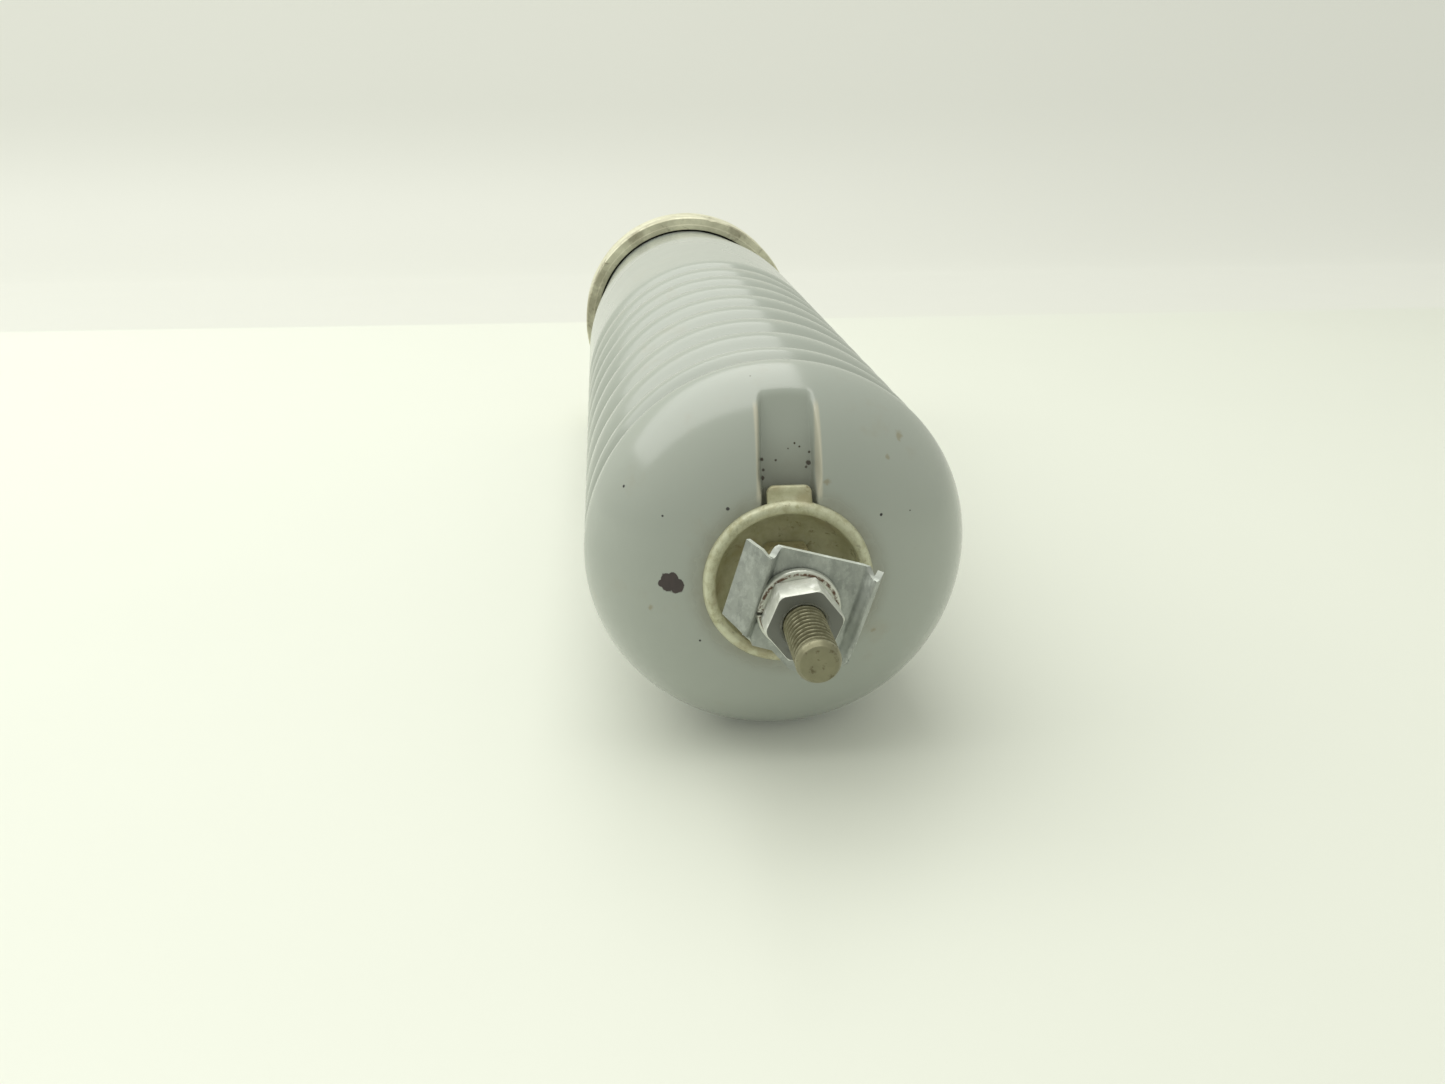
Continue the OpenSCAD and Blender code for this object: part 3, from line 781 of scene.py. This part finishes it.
def stud(name, tip, head):
    """A threaded stud with a worn, chamfered tip at one end and a round head at the other."""
    inward = 1 if head > tip else -1
    columns, rows_per_turn = 64, 13
    cut, threaded = 0.82, 27.0
    length = abs(head - tip)
    rings = [[(0, FACE_Y + tip, 0)]]

    def ring(radius_of, travel):
        station = tip + inward * travel
        made = []
        for k in range(columns):
            angle = math.tau * k / columns
            made.append(round_axis(radius_of(station, angle), angle, station))
        rings.append(made)

    # The worn end, the thread, and then the plain shank and the head.
    for radius, travel in ((1.5, 0.0), (2.6, 0.02), (2.95, 0.06)):
        ring(lambda s, a, r=radius: r + 0.02 * round_ripple(r, a, s, 2.0), travel)
    for k in range(int(threaded / (THREAD_PITCH / rows_per_turn))):
        travel = 0.18 + k * THREAD_PITCH / rows_per_turn

        def radius_of(s, a, d=travel):
            limit = 3.05 + 0.93 * smoothstep(-0.55, 1.55, d) if d < 1.6 else STUD_R
            fade = smoothstep(1.3, 3.6, d) * (1 - smoothstep(24.5, 26.5, d))
            knock = 0.05 * abs(round_ripple(4, a, s, 1.4, 7.0))
            return min(limit, STUD_R - 0.01) - cut * fade * thread_cut(s, a) - knock * fade
        ring(radius_of, travel)
    ring(lambda s, a: STUD_R - 0.01, threaded + 0.6)
    ring(lambda s, a: STUD_R - 0.01, length - 4.0)
    for less, back in ((0.5, 4.0), (0.0, 3.5), (0.0, 0.5), (0.5, 0.0)):
        ring(lambda s, a, r=STUD_HEAD_R - less: r, length - back)
    rings.append([(0, FACE_Y + head, 0)])
    return lofted(name, rings, sharp=40)


def sleeve():
    """The standoff sleeve between the cup's jam nut and the clamp plate."""
    front, back = span("standoff_sleeve")
    inner, outer = STUD_R + 0.1, reach("standoff_sleeve")
    outline = rounded([(inner, front, 0.1), (outer, front, 0.5), (outer, back, 0.3), (inner, back, 0.1)])

    def rough_turning(radius, station, angle):
        pit = 0.12 * abs(round_ripple(radius, angle, station, 1.5, 5.0))
        return (radius - pit if radius > 5 else radius), station
    return turned("standoff_sleeve_tube", subdivided(outline, 0.5), 72, rough_turning)


def hexagon_nut(name, node, turn):
    """A nut with both faces chamfered to a circle, and slightly worn corners."""
    front, back = span(node)
    bore = STUD_R + 0.06
    corner_r = NUT_FLATS / 2 / math.cos(math.radians(30))
    sides = [(corner_r * math.cos(turn + k * math.pi / 3), corner_r * math.sin(turn + k * math.pi / 3), 0.35)
             for k in range(6)]
    face_r = NUT_FLATS / 2 + 0.55
    rings = []
    for x, z in subdivided(rounded(sides, 4), 0.6):
        radius, angle = math.hypot(x, z), math.atan2(z, x)
        slope = 0.10 + max(0.0, radius - face_r) * math.tan(math.radians(30))
        land = min(face_r, radius - 0.14)
        wear = 0.05 * ripple((x * 3, front, z * 3), 4.0, 9.0)
        section = [
            (bore, front + 0.45), (bore + 0.45, front), (land - 0.35, front), (land, front + 0.02),
            (radius - 0.08 + 0.3 * wear, front + slope), (radius, front + slope + 0.14),
            (radius, (front + back) / 2), (radius, back - slope - 0.18),
            (radius - 0.12, back - slope), (land, back - 0.02), (land - 0.35, back),
            (bore + 0.45, back), (bore, back - 0.45),
        ]
        rings.append([round_axis(r, angle, s) for r, s in section])
    return lofted(name, rings, loop=True, sharp=28)


def split_washer(name, node, slit_angle):
    """A lock washer: a bar bent round the stud, its two ends stepped past each other at the slit."""
    front, back = span(node)
    outer, inner = reach(node), STUD_R + 0.28
    step = 0.34
    thick = back - front - step
    bar = rounded([(inner, 0, 0.15), (outer, 0, 0.42), (outer, thick, 0.3), (inner, thick, 0.15)], 4)
    gap = 0.85 / outer
    columns = 120
    rings = []
    for k in range(columns + 1):
        share = k / columns
        angle = slit_angle + gap / 2 + (math.tau - gap) * share
        lift = step * (1 - share)
        ring = []
        for radius, depth in bar:
            lean = math.tan(math.radians(20)) * (depth - thick / 2) / outer
            bite = 0.05 * round_ripple(2 * radius, angle, depth, 2.5, 4.0)
            ring.append(round_axis(radius - abs(bite), angle - lean, front + lift + depth))
        rings.append(ring)
    return lofted(name, rings, sharp=50)


def flat_ring(name, node):
    """A washer or gasket with rounded edges."""
    front, back = span(node)
    inner, outer, edge = WASHER_HOLE_R, reach(node), 0.25
    outline = rounded([(inner, front, edge), (outer, front, edge),
                       (outer, back, edge), (inner, back, edge)], 4)

    def hand_cut(radius, station, angle):
        return radius - 0.06 * abs(round_ripple(radius, angle, 0, 5.0)), station
    return turned(name, outline, 112, hand_cut)


# -------------------------------- clamp plate

PLATE_WING = 13.2
# Where each wire groove starts and where it is highest, left and right of the sleeve.
LEFT_GROOVE = (6.3, 8.3)
RIGHT_GROOVE = (9.7, 11.5)


def plate_front(x):
    """Station of the plate's front surface at a distance x from its middle."""
    flat = PLATE_BACK - PLATE_T
    side = abs(x)
    foot, peak = LEFT_GROOVE if x < 0 else RIGHT_GROOVE
    height = flat - PLATE_FRONT
    if side <= peak:
        return flat - height * smoothstep(foot, peak, side)
    down = (side - peak) / (PLATE_WING - peak)
    return flat - height * (1 - 0.9 * down ** 1.5)


def plate_edges():
    """The plate's outline from the front, before it is turned: the cut corner is low on the left."""
    top = [(-PLATE_WING, 10.3), (-10.4, 9.7), (-9.2, 9.0), (-8.3, 8.8), (-7.4, 9.0), (-6.9, 9.7)]
    top += [(-6.4, 10.4), (9.9, 10.9), (10.3, 10.0), (11.1, 9.4), (12.0, 9.6), (PLATE_WING, 10.7)]
    right = [(12.2, -5.0), (9.8, -10.8), (6.4, -12.6), (2.6, -12.6)]
    left = [(-2.0, -9.6), (-5.8, -9.6), (-6.6, -8.4), (-7.4, -7.2), (-8.6, -6.7), (-10.4, -5.8)]
    left.append((-PLATE_WING, -4.7))
    return top + right + left


def clamp_plate():
    """The formed plate, as a triangulated sheet that is bent along its two wire grooves."""
    corners = plate_edges()
    outline = subdivided(corners, 0.4)
    hole_n = 48
    hole = [(WASHER_HOLE_R * math.cos(math.tau * k / hole_n), WASHER_HOLE_R * math.sin(math.tau * k / hole_n))
            for k in range(hole_n)]
    points = outline + hole
    fixed = [(i, (i + 1) % len(outline)) for i in range(len(outline))]
    base = len(outline)
    fixed += [(base + k, base + (k + 1) % hole_n) for k in range(hole_n)]
    # The points inside stand in columns, which are close together over the two wire grooves.
    xs = [-PLATE_WING + 0.15 + 0.14 * k for k in range(52)]
    xs += [-5.7 + 0.95 * k for k in range(16)] + [9.2 + 0.14 * k for k in range(28)]
    for x in xs:
        for k in range(27):
            z = -12.2 + 0.9 * k
            if math.hypot(x, z) > WASHER_HOLE_R + 0.35 and inside(x, z, corners, 0.25):
                points.append((x, z))
    found, _, triangles, *_ = geometry.delaunay_2d_cdt([Vector(p) for p in points], fixed, [], 0, 1e-5)
    kept = []
    for t in triangles:
        cx = sum(found[i].x for i in t) / 3
        cz = sum(found[i].y for i in t) / 3
        if math.hypot(cx, cz) > WASHER_HOLE_R and inside(cx, cz, corners, 0.0):
            kept.append(list(t))
    c, s = math.cos(PLATE_TURN), math.sin(PLATE_TURN)

    def bent(x):
        """Station of the front surface, and the direction through the sheet there."""
        y = plate_front(x)
        slope = (plate_front(x + 0.05) - plate_front(x - 0.05)) / 0.1
        across = Vector((-slope, 1.0)).normalized()
        return y, across

    front, back = [], []
    for p in found:
        y, across = bent(p.x)
        sag = 0.06 * ripple((p.x, 0, p.y), 5.0, 2.0)
        bx = p.x + across.x * PLATE_T
        by = min(y + across.y * PLATE_T, PLATE_BACK)
        front.append((p.x * c + p.y * s, FACE_Y + y + sag + 0.06, -p.x * s + p.y * c))
        back.append((bx * c + p.y * s, FACE_Y + by + sag, -bx * s + p.y * c))
    n = len(found)
    faces = kept + [[i + n for i in reversed(t)] for t in kept]
    edges = dict.fromkeys(side for t in kept for side in zip(t, t[1:] + t[:1]))
    faces += [[b, a, a + n, b + n] for a, b in edges if (b, a) not in edges]
    obj = finish_mesh("wire_clamp_plate", front + back, faces, 40)
    bevel = obj.modifiers.new("worn_edges", "BEVEL")
    bevel.width = 0.16 / MM
    bevel.segments = 2
    bevel.limit_method = "ANGLE"
    bevel.angle_limit = math.radians(50)
    return obj


def inside(x, z, corners, margin):
    """True if a point is inside the outline by more than margin."""
    hit = False
    near = 1e9
    for (x0, z0), (x1, z1) in zip(corners, corners[1:] + corners[:1]):
        if (z0 > z) != (z1 > z) and x < (x1 - x0) * (z - z0) / (z1 - z0) + x0:
            hit = not hit
        edge = Vector((x1 - x0, z1 - z0))
        t = min(1.0, max(0.0, Vector((x - x0, z - z0)).dot(edge) / edge.length_squared))
        near = min(near, math.hypot(x - x0 - edge.x * t, z - z0 - edge.y * t))
    return hit and near > margin


# -------------------------------- ground end

def cap():
    """The spun cap: a narrow bright lip, a flat front edge, a skirt with a crease and an end wall."""
    hole = STUD_R + 0.3
    outline = rounded([
        (CAP_BORE, CAP_START + 1.4, 0.2),
        (CAP_BORE - 1.0, CAP_START + 1.4, 0.2),
        (CAP_BORE - 1.0, CAP_START + 0.2, 0.3),
        (CAP_BORE + 0.7, CAP_START, 0.25),
        (CAP_BORE + 1.1, CAP_START + 0.15, 0.2),
        (CAP_R - 0.5, CAP_START + 0.1, 0.2),
        (CAP_R - 0.05, CAP_START + 0.6, 0.35),
        (CAP_R - 0.05, CAP_START + 8.0, 0.5),
        (CAP_R - 0.35, CAP_START + 8.6, 0.4),
        (CAP_R, CAP_START + 9.3, 0.5),
        (CAP_R, CAP_END - 0.05, 2.3),
        (CAP_R - 6.0, CAP_END - 0.05, 0.6),
        (CAP_R - 6.8, CAP_END - 0.6, 0.6),
        (12.2, CAP_END - 0.6, 0.6),
        (11.4, CAP_END, 0.5),
        (hole, CAP_END, 0.2),
        (hole, CLOSURE_END, 0.2),
        (CAP_BORE, CLOSURE_END, 0.3),
    ])
    nick_angle = math.radians(90 - 12.5)

    def knocks(radius, station, angle):
        skirt = smoothstep(CAP_BORE + 1.0, CAP_R, radius)
        dent = 0.16 * abs(round_ripple(radius, angle, station, 11.0, 6.0)) * skirt
        nick = 1.1 * math.exp(-((angle - nick_angle) / 0.022) ** 2 - ((station - CAP_START - 1.6) / 1.3) ** 2)
        at_lip = 1 - smoothstep(CAP_START, CAP_START + 3, station)
        wave = 0.12 * round_ripple(radius, angle, station, 9.0, 8.0) * at_lip
        return radius - dent - nick * skirt, station + max(0.0, wave)
    return turned("end_cap_spun", subdivided(outline, 1.2), 256, knocks)


def sealing_ring():
    """Poured compound between neck and cap, a little uneven on top."""
    front, back = span("cap_sealing_ring")
    outline = [(CAP_BORE - 0.02, back), (CAP_BORE - 0.02, front + 0.1), (36.9, front + 0.35),
               (36.4, front + 0.4), (NECK_R + 0.02, front), (NECK_R + 0.02, back)]

    def poured(radius, station, angle):
        if station > front + 3:
            return radius, station
        lump = abs(round_ripple(radius, angle, 0, 3.0, 1.0))
        return radius, station + 0.8 * lump
    return turned("sealing_compound", outline, 256, poured)


# -------------------------------- the object

add_piece(porcelain(), "arrester", "porcelain_housing", "glaze")
tab = cup_tab()
add_piece(cup(), "arrester", "terminal_cup", "cup")
add_piece(tab, "arrester", "terminal_cup", "cup")
add_piece(stud("line_stud_threaded", STUD_TIP, STUD_HEAD_END), "arrester", "terminal_stud",
          "stud")
add_piece(hexagon_nut("cup_jam_nut", "jam_nut", 0.0), "arrester", "jam_nut", "sleeve")
add_piece(sleeve(), "arrester", "standoff_sleeve", "sleeve")
add_piece(flat_ring("cup_gasket_ring", "cup_gasket"), "arrester", "cup_gasket", "gasket")
add_piece(clamp_plate(), "wire_clamp", "clamp_plate", "plate")
add_piece(split_washer("line_lock_washer", "terminal_lock_washer", math.pi), "line_washer",
          "terminal_lock_washer", "line_washer")
add_piece(hexagon_nut("line_nut_hexagon", "terminal_nut", NUT_TURN), "line_nut", "terminal_nut",
          "nut")
add_piece(cap(), "arrester", "end_cap", "cap")
add_piece(sealing_ring(), "arrester", "cap_sealing_ring", "bitumen")
add_piece(stud("ground_stud_threaded", GROUND_TIP, GROUND_HEAD), "arrester", "ground_stud",
          "stud")
add_piece(flat_ring("ground_gasket_ring", "ground_gasket"), "arrester", "ground_gasket", "gasket")
add_piece(flat_ring("ground_washer_flat", "ground_flat_washer"), "ground_washers", "ground_flat_washer",
          "ground_washer")
add_piece(split_washer("ground_washer_split", "ground_lock_washer", math.radians(60)), "ground_washers",
          "ground_lock_washer", "ground_washer")
add_piece(hexagon_nut("ground_nut_hexagon", "ground_nut", 0.0), "ground_nut", "ground_nut",
          "nut")

# The hidden stack keeps its CAD shapes, which are right, and only gets its materials.
HIDDEN = {
    "gap_electrode": "brass", "gap_spacer": "steatite", "gap_shroud": "steatite", "valve_block": "carbide",
    "liner_tube": "board", "contact_spring": "spring", "contact_strap": "copper", "inner_washer": "gasket",
    "end_gasket": "gasket", "spring_seat": "sheet", "gap_contact_plate": "sheet",
    "end_contact_plate": "sheet", "closure_plate": "sheet",
}
for node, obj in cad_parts.items():
    for start, material in HIDDEN.items():
        if node.startswith(start):
            obj.data.materials.clear()
            obj.data.materials.append(MATERIALS[material])


# -------------------------------- stage, light and camera

CAMERA_AT = Vector((-33.3, -410.0, 90.1))
CAMERA_TURN = math.radians(-5.39)
CAMERA_DOWN = math.radians(20.4)
CAMERA_LENS = 30.7
SENSOR = 36.0
TABLE_END = 327.0
WALL_Y = 640.0
COVE = 120.0


def board(name, light, dark, rough, glow):
    """A smooth painted board. A little glow evens out the light on it."""
    m = Shader(name, IOR=1.45, Emission_Color=(*light, 1), Emission_Strength=glow)
    return m.done(m.mix(m.noise(160, 3), dark, light), m.between(m.noise(40, 3), rough, rough + 0.08))


def sheet(name, profile, material):
    """A wide sheet from its section, given as (y, z)."""
    verts = [(x, y, z) for y, z in profile for x in (-4000, 4000)]
    faces = [[2 * k, 2 * k + 1, 2 * k + 3, 2 * k + 2] for k in range(len(profile) - 1)]
    mesh = bpy.data.meshes.new(name)
    mesh.from_pydata([Vector(v) / MM for v in verts], [], faces)
    mesh.shade_smooth()
    mesh.materials.append(material)
    new_object(name, mesh)


def backdrop():
    """A pale table under the rim and the cap, and behind it a greyer board that curves up."""
    lean = math.atan2(CAP_R - CREST_R, CAP_START - DOME_END)
    floor_at = -CREST_R + math.tan(lean) * (FACE_Y + DOME_END)

    def level(y):
        return floor_at - math.tan(lean) * y

    table = [(y, level(y)) for y in (-4000, *range(-1000, 201, 200), TABLE_END)]
    sheet("table", table, board("table_paint", (0.69, 0.71, 0.64), (0.67, 0.69, 0.62), rough=0.35, glow=0.11))
    profile = [(TABLE_END, level(TABLE_END)), (WALL_Y - COVE, level(WALL_Y - COVE))]
    for k in range(1, 13):
        a = math.pi / 2 * k / 12
        profile.append((WALL_Y - COVE + COVE * math.sin(a), level(WALL_Y) + COVE * (1 - math.cos(a))))
    profile += [(WALL_Y, level(WALL_Y) + h) for h in (300, 900)]
    paint = board("back_paint", (0.34, 0.345, 0.312), (0.33, 0.335, 0.302), rough=0.5, glow=1.15)
    sheet("back_board", profile, paint)


def soft_light(name, at, towards, width, depth, watts, colour):
    """A rectangular softbox. Its width runs along X when it looks straight down."""
    data = bpy.data.lights.new(name, "AREA")
    data.shape = "RECTANGLE"
    data.size, data.size_y = width / MM, depth / MM
    data.energy = watts
    data.color = colour
    lamp = new_object(name, data)
    lamp.location = Vector(at) / MM
    aim = Vector(towards) - Vector(at)
    lamp.rotation_euler = aim.to_track_quat("-Z", "Y").to_euler()
    lamp.visible_camera = False


def world_light(colour, strength):
    world = bpy.data.worlds.new("pale_room")
    bpy.context.scene.world = world
    world.use_nodes = True
    background = next(n for n in world.node_tree.nodes if n.type == "BACKGROUND")
    background.inputs["Color"].default_value = (*colour, 1)
    background.inputs["Strength"].default_value = strength


def camera():
    data = bpy.data.cameras.new("camera")
    data.lens = CAMERA_LENS
    data.sensor_width = SENSOR
    data.clip_start = 0.005
    data.clip_end = 50
    eye = new_object("camera", data)
    eye.location = CAMERA_AT / MM
    eye.rotation_euler = Euler((math.pi / 2 - CAMERA_DOWN, 0, CAMERA_TURN))
    bpy.context.scene.camera = eye


backdrop()
world_light(colour=(0.745, 0.760, 0.680), strength=0.80)
soft_light("overhead_softbox", at=(-850, 350, 1000), towards=(-850, 350, 0), width=2250, depth=1500,
           watts=23.0, colour=(1.0, 0.995, 0.96))
camera()
bpy.context.scene.view_settings.view_transform = "Standard"
